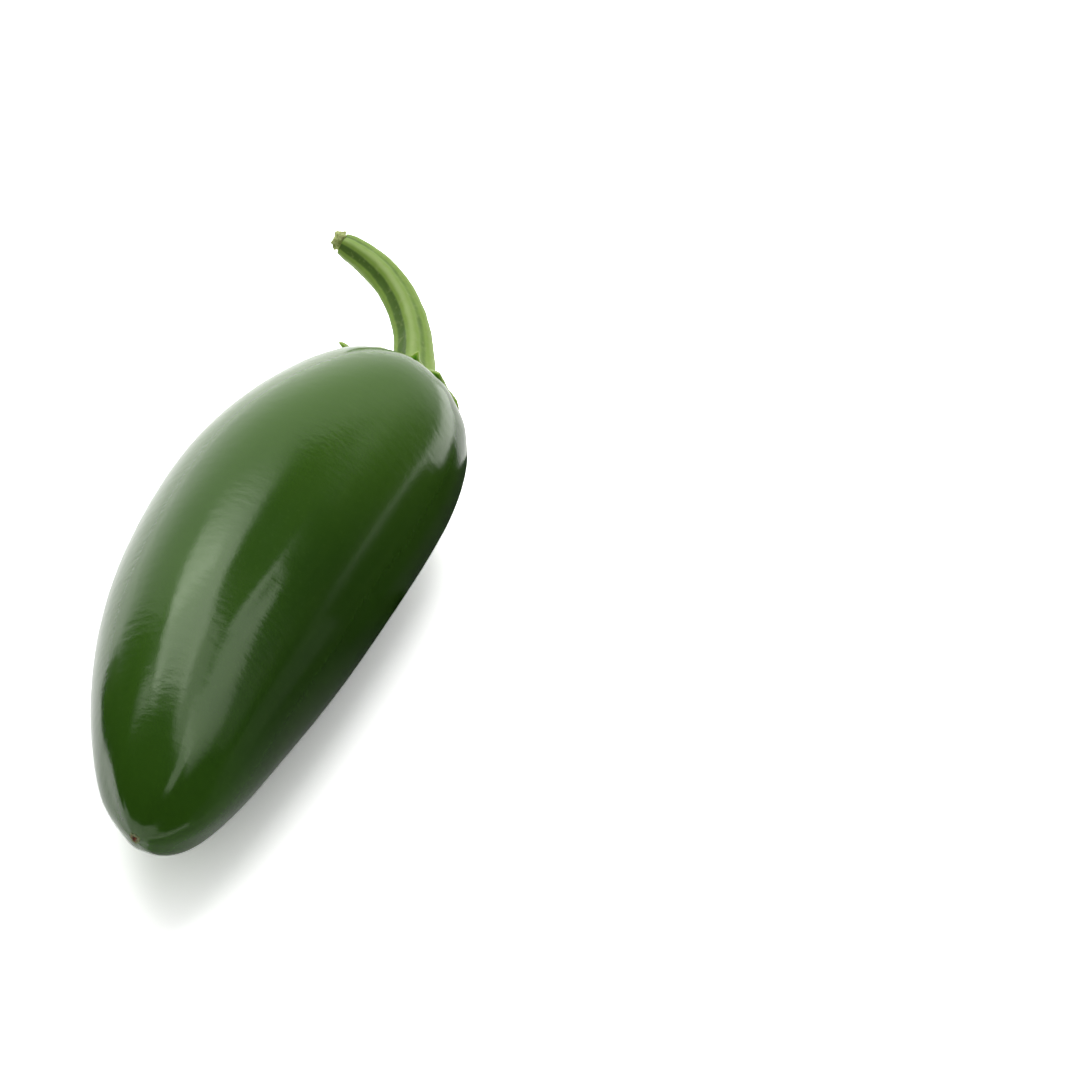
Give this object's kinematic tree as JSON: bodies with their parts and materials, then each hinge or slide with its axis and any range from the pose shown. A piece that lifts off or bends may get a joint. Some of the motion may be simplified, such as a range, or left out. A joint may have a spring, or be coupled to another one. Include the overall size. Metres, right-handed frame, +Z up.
{
  "type": "green jalapeño chilli pepper",
  "caption": "Fresh green chilli pepper lying on its side: a blunt-shouldered glossy pod with a rounded tip, a small toothed calyx and a short curved ribbed stem.",
  "frame": {"origin": "middle of the small flat under the pod's belly, on the surface that the pepper rests on", "axes": "+Z up from the surface; +X along the pod from the blossom tip towards the stem; +Y the side that the tip and the stem bend towards"},
  "size_m": [0.0918, 0.0289, 0.0277],
  "materials": {
    "pod_skin": "waxy, very glossy dark green fruit skin with gentle lobes and ripples",
    "calyx_skin": "soft satin, wrinkled light green leaf tissue",
    "stem_skin": "satin yellow-green stalk with lengthwise ribs and darker grooves"
  },
  "bodies": {
    "root": {"pod": "pod_skin", "calyx": "calyx_skin", "stem": "stem_skin"}
  },
  "joints": []
}
